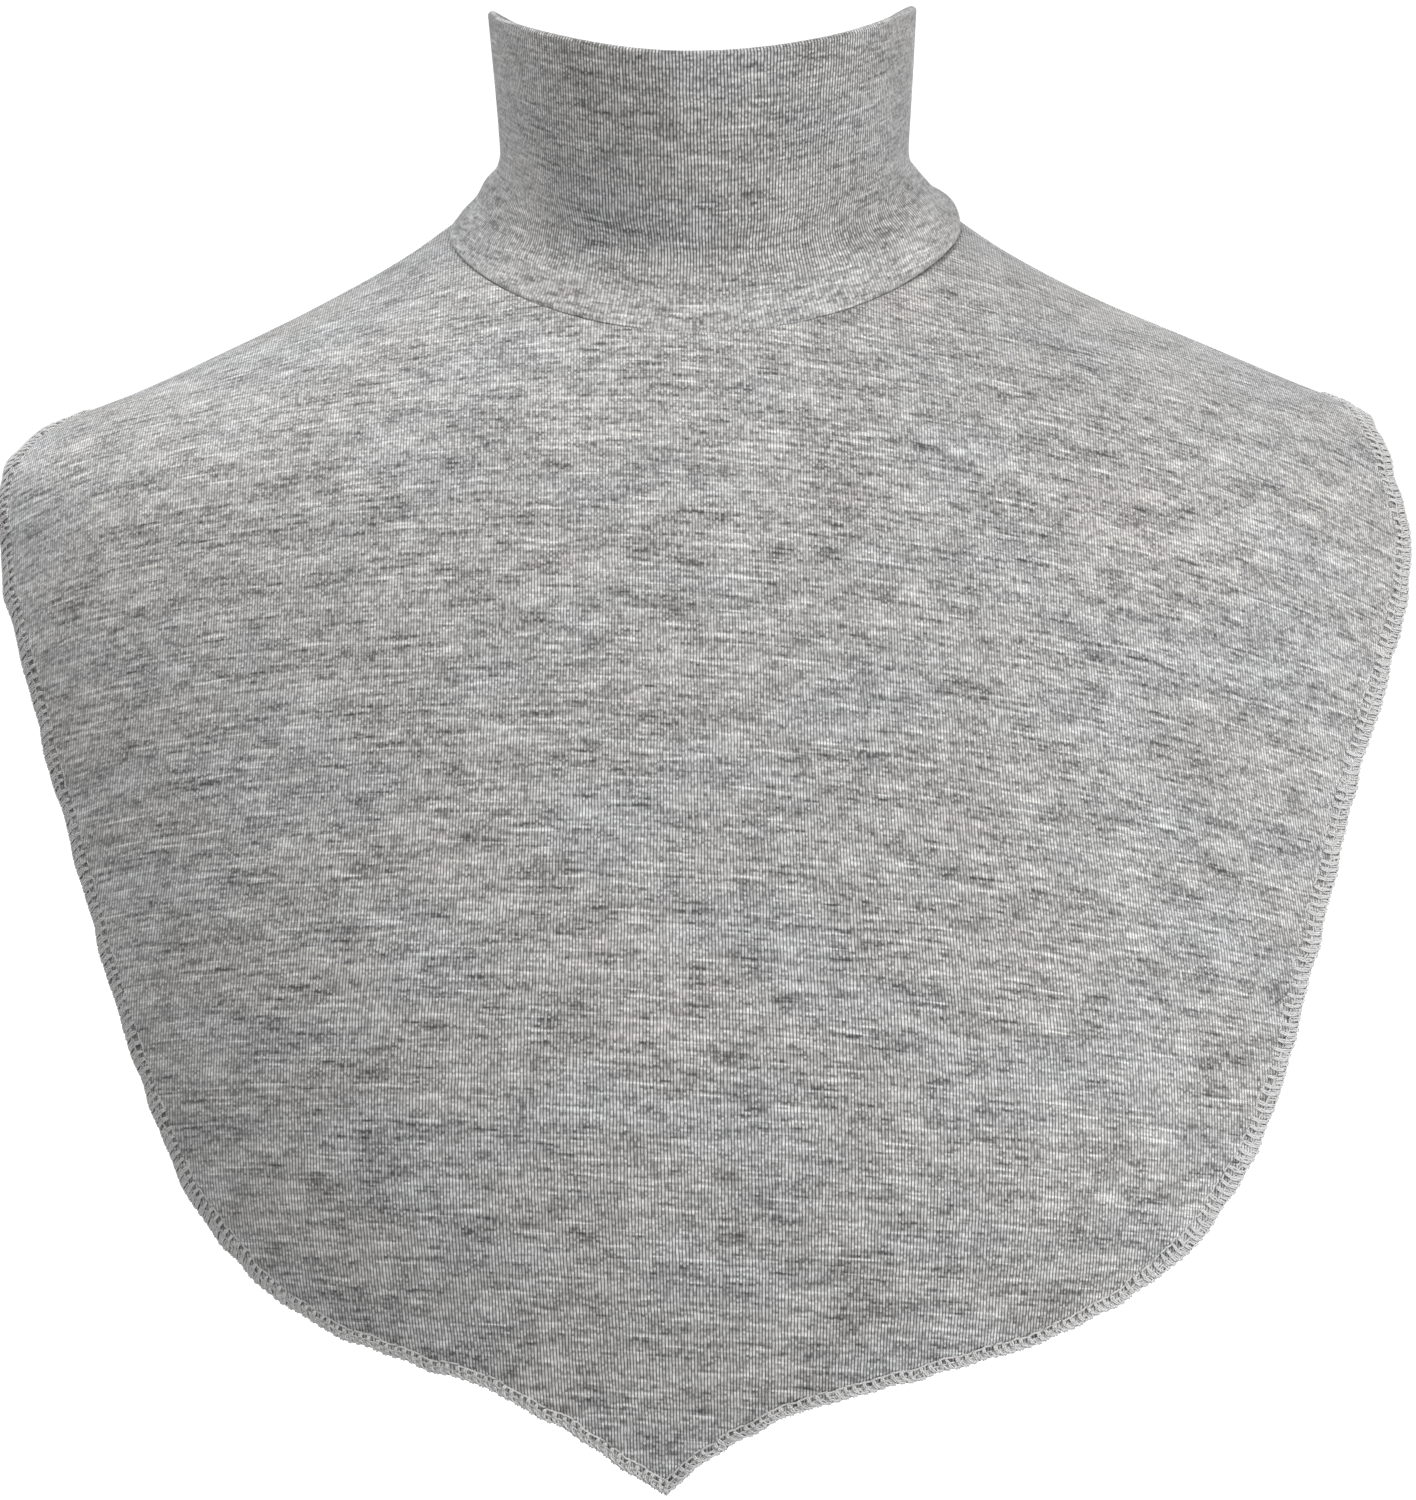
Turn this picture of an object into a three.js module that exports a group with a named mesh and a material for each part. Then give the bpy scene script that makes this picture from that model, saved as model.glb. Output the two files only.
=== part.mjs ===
// Turtleneck dickey in heather grey jersey: a collar and a bib worn under a sweater.
// Millimetres, +Z up. The front faces -Y, and +X is on the right seen from the front.
// The origin is the centre of the neckline seam, on the axis of the neck.
// Angles go round the neck: 0 is the +X side, 90 centre front, 180 the -X side, 270 centre back.
import * as THREE from "three";

const { clamp, degToRad, lerp } = THREE.MathUtils;

// Neck: the collar's standing tube, the opening at its top, which is highest just behind its
// sides, and the seam at its base. The two tilts say how steeply rim and seam rise backwards there.
const TUBE_HALF_WIDTH = 54.8;
const TUBE_HALF_DEPTH = 54.5;
const RIM_HALF_WIDTH = 57;
const RIM_HALF_DEPTH = 53.6;
const RIM_HEIGHT = 55.4;
const RIM_FRONT_DROP = 18;
const RIM_BACK_DROP = 12;
const RIM_SIDE_TILT = 9.5;
const RIM_FORWARD = 22;
const SEAM_HALF_WIDTH = 69;
const SEAM_FRONT_DEPTH = 70;
const SEAM_BACK_DEPTH = 60;
const SEAM_FRONT_DROP = 33;
const SEAM_BACK_RISE = 2;
const SEAM_SIDE_TILT = 23.5;

// Body: what the two panels lie over, and how far they hang below the neckline seam.
const BODY_HALF_WIDTH = 205;
const CHEST_DEPTH = 126;
const BACK_DEPTH = 100;
const SHOULDER_DROP = 63;
const FRONT_LENGTH = 328;
const BACK_LENGTH = 212;
const SHOULDER_SEAM_ANGLE = degToRad(-6);

// Cloth, and the cut edges folded inside the seams.
const PANEL_THICKNESS = 1.2;
const COLLAR_LAYER = 1;
const COLLAR_SLIT = 0.3;
const ALLOWANCE_WIDTH = 6;
const ALLOWANCE_THICKNESS = 2;
const ALLOWANCE_GAP = 0.5;
const SEAM_GAP = 0.3;

// Steps of the faceted surfaces. Points of a panel's spokes crowd towards the neck, and the spokes
// fan and swell between the shoulder seam and the panel's centre, so that the facets stay square.
const COLLAR_STEPS_ROUND = 48;
const FRONT_STEPS_ROUND = 64;
const BACK_STEPS_ROUND = 44;
const PANEL_STEPS_DOWN = 15;
const EDGE_SAMPLES = 240;
const NECKWARD_CROWDING = 1.25;
const SPOKE_FAN = 0.2;
const SPOKE_SWELL = degToRad(28);
const NORMAL_STEP = 0.01;

// Sections of the body, from the neckline down. at: 0 is the seam, 1 the shoulder point and 2 the
// front tip. right, left, front and back are shares of the way from the seam's outline to the
// fullest one. square is the power of the outline (2 is an ellipse), and dip is the share of the
// seam line's own drop that the section still has.
const BODY = [
  { at: 0.0, right: 0.0, left: 0.0, front: 0.0, back: 0.0, square: 2.0, dip: 1.0 },
  { at: 0.14, right: 0.1, left: 0.1, front: 0.07, back: 0.15, square: 2.0, dip: 0.92 },
  { at: 0.32, right: 0.26, left: 0.26, front: 0.15, back: 0.28, square: 2.0, dip: 0.8 },
  { at: 0.49, right: 0.445, left: 0.43, front: 0.22, back: 0.4, square: 2.0, dip: 0.68 },
  { at: 0.67, right: 0.64, left: 0.62, front: 0.29, back: 0.5, square: 2.05, dip: 0.56 },
  { at: 0.83, right: 0.805, left: 0.81, front: 0.34, back: 0.6, square: 2.1, dip: 0.46 },
  { at: 1.0, right: 0.895, left: 0.905, front: 0.39, back: 0.68, square: 2.2, dip: 0.37 },
  { at: 1.05, right: 0.95, left: 0.93, front: 0.45, back: 0.75, square: 2.3, dip: 0.28 },
  { at: 1.12, right: 0.99, left: 0.93, front: 0.54, back: 0.85, square: 2.35, dip: 0.17 },
  { at: 1.23, right: 1.0, left: 0.9, front: 0.64, back: 0.95, square: 2.4, dip: 0.05 },
  { at: 1.4, right: 0.96, left: 0.82, front: 0.8, back: 1.0, square: 2.4, dip: 0.0 },
  { at: 1.57, right: 0.88, left: 0.74, front: 0.95, back: 0.96, square: 2.4, dip: 0.0 },
  { at: 1.7, right: 0.81, left: 0.67, front: 1.0, back: 0.9, square: 2.4, dip: 0.0 },
  { at: 1.83, right: 0.73, left: 0.6, front: 0.9, back: 0.85, square: 2.4, dip: 0.0 },
  { at: 2.0, right: 0.64, left: 0.51, front: 0.66, back: 0.8, square: 2.4, dip: 0.0 },
  { at: 2.06, right: 0.61, left: 0.48, front: 0.57, back: 0.8, square: 2.4, dip: 0.0 },
];

// Edge of the front panel, from the shoulder seam round the armhole and the hem to the tip.
// at is measured as above, and right and left are degrees forward of the body's own side.
const FRONT_EDGE = [
  { place: "shoulder seam", at: 0.78, right: -6, left: -6 },
  { place: "shoulder ridge", at: 0.83, right: 6, left: 3 },
  { place: "armhole", at: 0.91, right: 15, left: 9.5 },
  { place: "armhole", at: 1.0, right: 20, left: 14 },
  { place: "armhole", at: 1.05, right: 24.5, left: 17.5 },
  { place: "armhole", at: 1.12, right: 28, left: 20.5 },
  { place: "side", at: 1.21, right: 33, left: 24 },
  { place: "side", at: 1.33, right: 38, left: 25.5 },
  { place: "side", at: 1.48, right: 40.5, left: 27.5 },
  { place: "side", at: 1.63, right: 42.3, left: 31 },
  { place: "side", at: 1.71, right: 45.2, left: 34 },
  { place: "corner", at: 1.78, right: 50.5, left: 41 },
  { place: "corner", at: 1.82, right: 56.8, left: 47.5 },
  { place: "hem", at: 1.855, right: 64.5, left: 57 },
  { place: "hem", at: 1.89, right: 76.5, left: 69.5 },
  { place: "hem", at: 1.925, right: 86.5, left: 76.5 },
  { place: "hem", at: 1.963, right: 90.5, left: 82 },
  { place: "tip", at: 2.0, right: 93.5, left: 86.5 },
];

// Edge of the back panel, from the shoulder seam to centre back. at 2 is its lowest point here,
// and right and left are degrees behind the body's side, shown as minus.
const BACK_EDGE = [
  { place: "shoulder seam", at: 0.78, right: -6, left: -6 },
  { place: "armhole", at: 0.85, right: -17, left: -17 },
  { place: "armhole", at: 1.0, right: -27, left: -27 },
  { place: "armhole", at: 1.1, right: -34, left: -34 },
  { place: "side", at: 1.3, right: -40, left: -40 },
  { place: "side", at: 1.6, right: -45, left: -45 },
  { place: "corner", at: 1.82, right: -52, left: -52 },
  { place: "corner", at: 1.94, right: -65, left: -65 },
  { place: "hem", at: 2.0, right: -90, left: -90 },
];

// The collar's flare into the seam, below the tube: up is the share of the collar's height, and
// flare the share of the way out from the tube to the seam's outline.
const TUBE_START = 0.38;
const FLARE = [
  { up: 0.0, flare: 1.0 },
  { up: 0.04, flare: 0.995 },
  { up: 0.1, flare: 0.91 },
  { up: 0.18, flare: 0.54 },
  { up: 0.24, flare: 0.22 },
  { up: 0.3, flare: 0.05 },
  { up: TUBE_START, flare: 0.0 },
  { up: 1.0, flare: 0.0 },
];
const COLLAR_ROWS_DOWN = [0, 0.3, 0.6, 0.69, 0.75, 0.8, 0.85, 0.9, 0.95, 1];
const FOLD_ANGLES = [135, 90, 45];

const jersey = { color: 0xa4a2a1, roughness: 0.95, metalness: 0, side: THREE.FrontSide };
const thread = { color: 0xadabaa, roughness: 0.9, metalness: 0, side: THREE.FrontSide };

// Height of a row below the seam: the shoulders end at 1, and what hangs from them at 2.
const dropTo = (at, length) =>
  at <= 1 ? at * SHOULDER_DROP : lerp(SHOULDER_DROP, length, at - 1);

// A smooth curve with no overshoot through the rows of a table: cubic pieces whose slope at a row
// is the weighted harmonic mean of its neighbours' slopes, or none at a high or low point.
function through(xs, ys) {
  const last = xs.length - 1;
  const run = xs.slice(1).map((x, i) => x - xs[i]);
  const rise = run.map((w, i) => (ys[i + 1] - ys[i]) / w);
  const slope = xs.map((_, i) => {
    if (i === 0) return rise[0];
    if (i === last) return rise[last - 1];
    if (rise[i - 1] * rise[i] <= 0) return 0;
    const before = 2 * run[i] + run[i - 1];
    const after = run[i] + 2 * run[i - 1];
    return (before + after) / (before / rise[i - 1] + after / rise[i]);
  });
  return (x) => {
    let i = 0;
    while (i < last - 1 && x > xs[i + 1]) i++;
    const t = clamp((x - xs[i]) / run[i], 0, 1);
    const back = 1 - t;
    return (
      ys[i] * (1 + 2 * t) * back * back +
      run[i] * slope[i] * t * back * back +
      ys[i + 1] * t * t * (3 - 2 * t) +
      run[i] * slope[i + 1] * t * t * (t - 1)
    );
  };
}

const bodyDrops = BODY.map((row) => dropTo(row.at, FRONT_LENGTH));
const body = Object.fromEntries(
  ["right", "left", "front", "back", "square", "dip"].map((column) => [
    column,
    through(bodyDrops, BODY.map((row) => row[column])),
  ]),
);
const flareAt = through(FLARE.map((row) => row.up), FLARE.map((row) => row.flare));

// Drop of a line round the neck below its height at the sides, from how far ahead it is (-1 is
// centre back, 1 centre front): the tilt at the sides, and a bow that takes it to each end's drop.
const dropRound = (ahead, tilt, frontDrop, backDrop) =>
  tilt * ahead + (ahead > 0 ? frontDrop - tilt : backDrop + tilt) * ahead * ahead;

// A point of the body's surface at an angle round the neck and a drop below the seam.
function bodyPoint(angle, drop) {
  const across = Math.cos(angle);
  const ahead = Math.sin(angle);
  const power = 2 / body.square(drop);
  const side = across > 0 ? body.right(drop) : body.left(drop);
  const wide = lerp(SEAM_HALF_WIDTH, BODY_HALF_WIDTH, side);
  const deep =
    ahead > 0
      ? lerp(SEAM_FRONT_DEPTH, CHEST_DEPTH, body.front(drop))
      : lerp(SEAM_BACK_DEPTH, BACK_DEPTH, body.back(drop));
  const seam = dropRound(ahead, SEAM_SIDE_TILT, SEAM_FRONT_DROP, -SEAM_BACK_RISE);
  return new THREE.Vector3(
    wide * Math.sign(across) * Math.abs(across) ** power,
    -deep * Math.sign(ahead) * Math.abs(ahead) ** power,
    -drop - body.dip(drop) * seam,
  );
}

// A point of the collar's outer face, a share of the way down from the rim to the seam: the tube
// leans forward from the seam's centre to the rim's, and the flare carries its base to the seam.
function collarPoint(angle, down) {
  const up = 1 - down;
  const across = Math.cos(angle);
  const ahead = Math.sin(angle);
  const seam = bodyPoint(angle, 0);
  const rim = RIM_HEIGHT - dropRound(ahead, RIM_SIDE_TILT, RIM_FRONT_DROP, RIM_BACK_DROP);
  const widen = Math.max(0, up - TUBE_START) / (1 - TUBE_START);
  const wide = lerp(TUBE_HALF_WIDTH, RIM_HALF_WIDTH, widen);
  const deep = lerp(TUBE_HALF_DEPTH, RIM_HALF_DEPTH, widen);
  const tube = new THREE.Vector3(wide * across, -RIM_FORWARD * up - deep * ahead, 0);
  const point = tube.lerp(seam, flareAt(up));
  point.z = lerp(seam.z + SEAM_GAP / 2, rim, up);
  return point;
}

// The outward normal of a surface, from the points a small step to each side.
function normalOf(surface, angle, along, step) {
  const round = surface(angle + step, along).sub(surface(angle - step, along));
  const down = surface(angle, along + step).sub(surface(angle, along - step));
  return round.cross(down).normalize();
}

// The edge of a panel on one side, as angle and drop at an even share of its length.
function edgeOf(rows, side, length) {
  const index = rows.map((_, i) => i);
  const angleAt = through(index, rows.map((row) => degToRad(row[side])));
  const dropAt = through(index, rows.map((row) => dropTo(row.at, length)));
  const samples = Array.from({ length: EDGE_SAMPLES + 1 }, (_, i) => {
    const place = (i / EDGE_SAMPLES) * (rows.length - 1);
    const turn = angleAt(place);
    const angle = side === "right" ? turn : Math.PI - turn;
    return { angle, drop: dropAt(place), point: bodyPoint(angle, dropAt(place)) };
  });
  let total = 0;
  samples.forEach((sample, i) => {
    total += i ? sample.point.distanceTo(samples[i - 1].point) : 0;
    sample.run = total;
  });
  return (share) => {
    const run = share * total;
    let i = 1;
    while (i < EDGE_SAMPLES && samples[i].run < run) i++;
    const [from, to] = [samples[i - 1], samples[i]];
    const part = (run - from.run) / (to.run - from.run);
    return { angle: lerp(from.angle, to.angle, part), drop: lerp(from.drop, to.drop, part) };
  };
}

// Joins closed sections, each a list of points, into one closed solid. Sections that don't come
// round to the first are capped: each pairs its first half with its second half read backwards.
function solid(sections, comesRound, material, name) {
  const size = sections[0].length;
  const count = sections.length;
  const positions = new Float32Array(sections.flat().flatMap((p) => p.toArray()));
  const index = [];
  const quad = (a, b, c, d) => index.push(a, b, c, a, c, d);
  for (let i = 0; i < (comesRound ? count : count - 1); i++) {
    const here = i * size;
    const next = ((i + 1) % count) * size;
    for (let j = 0; j < size; j++) {
      const after = (j + 1) % size;
      quad(here + j, next + j, next + after, here + after);
    }
  }
  if (!comesRound) {
    const end = (count - 1) * size;
    for (let j = 0; j < size / 2 - 1; j++) {
      const across = size - 1 - j;
      quad(j, j + 1, across - 1, across);
      quad(end + j, end + across, end + across - 1, end + j + 1);
    }
  }
  const geometry = new THREE.BufferGeometry();
  geometry.setAttribute("position", new THREE.BufferAttribute(positions, 3));
  geometry.setIndex(index);
  geometry.computeVertexNormals();
  const mesh = new THREE.Mesh(geometry, new THREE.MeshStandardMaterial(material));
  mesh.name = name;
  return mesh;
}

// A section of a band of cloth: its outer face at one depth below a surface, its inner at another.
function bandSection(surface, places, shallow, deep) {
  const face = (depth) =>
    places.map(([angle, along]) =>
      surface(angle, along).addScaledVector(
        normalOf(surface, angle, along, NORMAL_STEP),
        -depth,
      ),
    );
  return [...face(shallow), ...face(deep).reverse()];
}

// Front or back panel: spokes run from the neckline seam out to the edge, from the right shoulder
// seam round to the left one, and swell towards the panel's centre to meet the armhole squarely.
function panel(name, rows, length, centre, steps) {
  const right = edgeOf(rows, "right", length);
  const left = edgeOf(rows, "left", length);
  const sections = [];
  for (let i = 0; i <= steps; i++) {
    const onRight = i * 2 <= steps;
    const share = onRight ? (2 * i) / steps : 2 - (2 * i) / steps;
    const edge = (onRight ? right : left)(share);
    const fanned = share + SPOKE_FAN * Math.sin(Math.PI * share);
    const turn = lerp(SHOULDER_SEAM_ANGLE, centre, fanned);
    const seamAngle = onRight ? turn : Math.PI - turn;
    const towards = Math.sign(centre) * (onRight ? 1 : -1);
    const inset = towards * (SEAM_GAP / 2 / SEAM_HALF_WIDTH) * (1 - share);
    const swell = towards * SPOKE_SWELL * Math.sin(Math.PI * fanned);
    const places = [];
    for (let j = 0; j <= PANEL_STEPS_DOWN; j++) {
      const out = (j / PANEL_STEPS_DOWN) ** NECKWARD_CROWDING;
      const turned = lerp(seamAngle, edge.angle, out) + inset + 2 * out * (1 - out) * swell;
      places.push([turned, lerp(SEAM_GAP / 2, edge.drop, out)]);
    }
    sections.push(bandSection(bodyPoint, places, 0, PANEL_THICKNESS));
  }
  if (centre < 0) sections.reverse();
  return solid(sections, false, jersey, name);
}

// Collar: one strip of jersey folded at the rim. Its two layers stand as one wall, and the slit
// between them is open along the neckline seam.
function collar() {
  const wall = 2 * COLLAR_LAYER + COLLAR_SLIT;
  const rows = COLLAR_ROWS_DOWN;
  const slitRows = rows.slice(1);
  const sections = [];
  for (let i = 0; i < COLLAR_STEPS_ROUND; i++) {
    const angle = (i / COLLAR_STEPS_ROUND) * 2 * Math.PI;
    const at = (down, depth) =>
      collarPoint(angle, down).addScaledVector(
        normalOf(collarPoint, angle, down, NORMAL_STEP),
        -depth,
      );
    const rim = collarPoint(angle, 0);
    const outward = normalOf(collarPoint, angle, 0, NORMAL_STEP);
    const upward = rim.clone().sub(collarPoint(angle, NORMAL_STEP)).normalize();
    const fold = FOLD_ANGLES.map(degToRad).map((turn) =>
      rim
        .clone()
        .addScaledVector(outward, (wall / 2) * (Math.cos(turn) - 1))
        .addScaledVector(upward, (wall / 2) * Math.sin(turn)),
    );
    sections.push([
      ...rows.map((down) => at(down, 0)),
      ...slitRows.map((down) => at(down, COLLAR_LAYER)).reverse(),
      ...slitRows.map((down) => at(down, COLLAR_LAYER + COLLAR_SLIT)),
      ...rows.map((down) => at(down, wall)).reverse(),
      ...fold,
    ]);
  }
  return solid(sections, true, jersey, "collar");
}

// Cut edges of collar and panels, sewn together and pressed up inside the collar's base.
function neckSeam() {
  const shallow = 2 * COLLAR_LAYER + COLLAR_SLIT + SEAM_GAP;
  const sections = [];
  for (let i = 0; i < COLLAR_STEPS_ROUND; i++) {
    const angle = (i / COLLAR_STEPS_ROUND) * 2 * Math.PI;
    const height = collarPoint(angle, 0).distanceTo(collarPoint(angle, 1));
    const places = [1, 0.5, 0].map((share) => [angle, 1 - (share * ALLOWANCE_WIDTH) / height]);
    sections.push(bandSection(collarPoint, places, shallow, shallow + ALLOWANCE_THICKNESS));
  }
  return solid(sections, true, thread, "neck_seam");
}

// Cut edges of the two panels along a shoulder, sewn together and pressed flat under it.
function shoulderSeam(side) {
  const onRight = side === "right";
  const end = edgeOf(FRONT_EDGE, side, FRONT_LENGTH)(0);
  const shallow = PANEL_THICKNESS + ALLOWANCE_GAP;
  const sections = [];
  for (let i = 0; i <= PANEL_STEPS_DOWN; i++) {
    const drop = lerp(ALLOWANCE_WIDTH, end.drop, i / PANEL_STEPS_DOWN);
    const middle = onRight ? SHOULDER_SEAM_ANGLE : Math.PI - SHOULDER_SEAM_ANGLE;
    const perAngle = bodyPoint(middle + NORMAL_STEP, drop).distanceTo(bodyPoint(middle, drop));
    const half = (ALLOWANCE_WIDTH / 2 / perAngle) * NORMAL_STEP;
    const places = [1, 0, -1].map((share) => [middle + share * half, drop]);
    sections.push(bandSection(bodyPoint, places, shallow, shallow + ALLOWANCE_THICKNESS));
  }
  return solid(sections, false, thread, `shoulder_seam_${side}`);
}

const dickey = new THREE.Group();
dickey.add(
  collar(),
  panel("front_panel", FRONT_EDGE, FRONT_LENGTH, Math.PI / 2, FRONT_STEPS_ROUND),
  panel("back_panel", BACK_EDGE, BACK_LENGTH, -Math.PI / 2, BACK_STEPS_ROUND),
  neckSeam(),
  shoulderSeam("right"),
  shoulderSeam("left"),
);
export default dickey;
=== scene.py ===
import math

import bpy
import numpy as np
from mathutils import Matrix, Vector


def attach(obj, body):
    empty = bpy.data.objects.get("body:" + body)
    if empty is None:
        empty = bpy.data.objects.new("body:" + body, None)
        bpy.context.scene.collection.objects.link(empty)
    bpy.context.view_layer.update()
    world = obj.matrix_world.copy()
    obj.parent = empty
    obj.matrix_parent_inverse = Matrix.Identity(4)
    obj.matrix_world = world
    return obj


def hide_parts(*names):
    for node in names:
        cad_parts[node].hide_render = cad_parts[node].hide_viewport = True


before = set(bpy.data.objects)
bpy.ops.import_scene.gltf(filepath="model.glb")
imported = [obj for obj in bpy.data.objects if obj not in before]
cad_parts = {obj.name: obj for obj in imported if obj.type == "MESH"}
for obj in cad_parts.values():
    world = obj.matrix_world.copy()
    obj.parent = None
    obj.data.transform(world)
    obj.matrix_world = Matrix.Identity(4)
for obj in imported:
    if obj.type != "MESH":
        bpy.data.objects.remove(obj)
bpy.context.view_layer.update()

# Turtleneck dickey in heather grey jersey, in its worn form. Metres, the front faces -Y.
# Angles go round the neck: 0 is the +X side, 90 degrees centre front, 180 the -X side.

# The front panel
# One piece of fine heather grey single jersey, wide over the shoulders and cut to a point on the chest.
# It is sewn to the back panel on the shoulders and to the collar round the neck.
SEAM_HALF_WIDTH, SEAM_FRONT_DEPTH, SEAM_BACK_DEPTH = 0.069, 0.070, 0.060
SEAM_FRONT_DROP, SEAM_BACK_RISE, SEAM_SIDE_TILT = 0.033, 0.002, 0.0235
BODY_HALF_WIDTH, CHEST_DEPTH, BACK_DEPTH = 0.205, 0.126, 0.100
SHOULDER_DROP, FRONT_LENGTH = 0.063, 0.328
SHOULDER_SEAM_ANGLE = np.radians(-6)
SEAM_GAP = 0.00003
CLOTH = 0.001
EDGE_BULGE = 0.0003
EDGE_WAVES, EDGE_WAVE_LENGTHS, EDGE_WAVE_HEIGHT = 4, (0.010, 0.040), 0.00017
EDGE_LIFT, EDGE_LIFT_LENGTH, EDGE_LIFT_FADE = 0.0003, 0.023, 0.006
LIFT_DRIFT, LIFT_DRIFT_LENGTH = 1.7, 0.031

# Sections of the body: at is 0 at the neckline, 1 at the shoulder point and 2 at the front tip, the
# next four are shares of the way out to the fullest section, then the outline's power and its dip.
BODY = np.array([
    # at, right, left, front, back, square, dip
    (0.0, 0.0, 0.0, 0.0, 0.0, 2.0, 1.0),
    (0.14, 0.1, 0.1, 0.07, 0.15, 2.0, 0.92),
    (0.32, 0.26, 0.26, 0.15, 0.28, 2.0, 0.8),
    (0.49, 0.445, 0.43, 0.22, 0.4, 2.0, 0.68),
    (0.67, 0.64, 0.62, 0.29, 0.5, 2.05, 0.56),
    (0.83, 0.805, 0.81, 0.34, 0.6, 2.1, 0.46),
    (1.0, 0.895, 0.905, 0.39, 0.68, 2.2, 0.37),
    (1.05, 0.95, 0.93, 0.45, 0.75, 2.3, 0.28),
    (1.12, 0.99, 0.93, 0.54, 0.85, 2.35, 0.17),
    (1.23, 1.0, 0.9, 0.64, 0.95, 2.4, 0.05),
    (1.4, 0.96, 0.82, 0.8, 1.0, 2.4, 0.0),
    (1.57, 0.88, 0.74, 0.95, 0.96, 2.4, 0.0),
    (1.7, 0.81, 0.67, 1.0, 0.9, 2.4, 0.0),
    (1.83, 0.73, 0.6, 0.9, 0.85, 2.4, 0.0),
    (2.0, 0.64, 0.51, 0.66, 0.8, 2.4, 0.0),
    (2.06, 0.61, 0.48, 0.57, 0.8, 2.4, 0.0),
])

# The front panel's edge from the shoulder seam round the armhole and hem to the tip, in degrees
# forward of the body's side.
FRONT_EDGE = np.array([
    # at, right, left
    (0.78, -6, -6),
    (0.83, 6, 3),
    (0.91, 15, 9.5),
    (1.0, 20, 14),
    (1.05, 24.5, 17.5),
    (1.12, 28, 20.5),
    (1.21, 33, 24),
    (1.33, 38, 25.5),
    (1.48, 40.5, 27.5),
    (1.63, 42.3, 31),
    (1.71, 45.2, 34),
    (1.78, 50.5, 41),
    (1.82, 56.8, 47.5),
    (1.855, 64.5, 57),
    (1.89, 76.5, 69.5),
    (1.925, 86.5, 76.5),
    (1.963, 90.5, 82),
    (2.0, 93.5, 86.5),
])


def through(places, values, at):
    """A smooth curve with no overshoot through a table's rows: cubic pieces whose slope at a row is
    the weighted harmonic mean of the slopes beside it, or none at a high or low point."""
    run = np.diff(places)
    rise = np.diff(values) / run
    before, after = 2 * run[1:] + run[:-1], run[1:] + 2 * run[:-1]
    steady = rise[:-1] * rise[1:] > 0
    safe = np.where(steady, rise[:-1], 1), np.where(steady, rise[1:], 1)
    inner = np.where(steady, (before + after) / (before / safe[0] + after / safe[1]), 0)
    slope = np.concatenate([rise[:1], inner, rise[-1:]])
    k = np.clip(np.searchsorted(places, at, side="right") - 1, 0, len(run) - 1)
    t = np.clip((at - places[k]) / run[k], 0, 1)
    back = 1 - t
    return (values[k] * (1 + 2 * t) * back**2 + run[k] * slope[k] * t * back**2
            + values[k + 1] * t**2 * (3 - 2 * t) + run[k] * slope[k + 1] * t**2 * (t - 1))


def drop_to(at, length):
    """Drop below the neckline of a row of a table: the shoulder point is at 1, the length at 2."""
    return np.where(at <= 1, at * SHOULDER_DROP, SHOULDER_DROP + (length - SHOULDER_DROP) * (at - 1))


def drop_round(ahead, tilt, front_drop, back_drop):
    """Drop of a line round the neck below its height at the sides: the tilt there times how far
    ahead it is, and a bow, that times itself, which takes it to the drop at centre front or back."""
    return tilt * ahead + np.where(ahead > 0, front_drop - tilt, back_drop + tilt) * ahead**2


def body(angle, drop):
    """Points of the body's surface: a rounded oval at each drop, as wide and deep as the table says,
    whose outline dips in front and rises behind as the neckline does."""
    drops = drop_to(BODY[:, 0], FRONT_LENGTH)
    right, left, front, back, square, dip = (through(drops, column, drop) for column in BODY[:, 1:].T)
    across, ahead = np.cos(angle), np.sin(angle)
    wide = SEAM_HALF_WIDTH + (BODY_HALF_WIDTH - SEAM_HALF_WIDTH) * np.where(across > 0, right, left)
    deep = np.where(
        ahead > 0,
        SEAM_FRONT_DEPTH + (CHEST_DEPTH - SEAM_FRONT_DEPTH) * front,
        SEAM_BACK_DEPTH + (BACK_DEPTH - SEAM_BACK_DEPTH) * back,
    )
    seam = drop_round(ahead, SEAM_SIDE_TILT, SEAM_FRONT_DROP, -SEAM_BACK_RISE)
    return np.stack([
        wide * np.sign(across) * np.abs(across) ** (2 / square),
        -deep * np.sign(ahead) * np.abs(ahead) ** (2 / square),
        -drop - dip * seam,
    ], axis=-1)


def unit(vectors):
    """Vectors over their own length."""
    return vectors / np.linalg.norm(vectors, axis=-1, keepdims=True)


def outward(surface, angle, along, step=1e-4):
    """Outward normals of a surface: the way round it crossed with the way down it."""
    round_it = surface(angle + 10 * step, along) - surface(angle - 10 * step, along)
    down_it = surface(angle, along + step) - surface(angle, along - step)
    return unit(np.cross(round_it, down_it))


FINE_POINTS, EDGE_POINTS = 4000, 3000


def edge_line(rows, side, length, count):
    """Angle, drop and running length of a panel's edge on one side, at evenly spaced points."""
    index = np.arange(len(rows), dtype=float)
    fine = np.linspace(0, len(rows) - 1, FINE_POINTS)
    turn = np.radians(through(index, rows[:, 1 if side == "right" else 2], fine))
    angle = turn if side == "right" else np.sign(rows[-1, 1]) * np.pi - turn
    drop = through(index, drop_to(rows[:, 0], length), fine)
    steps = np.linalg.norm(np.diff(body(angle, drop), axis=0), axis=-1)
    run = np.concatenate([[0], np.cumsum(steps)])
    even = np.linspace(0, run[-1], count)
    return np.interp(even, run, angle), np.interp(even, run, drop), even


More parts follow.
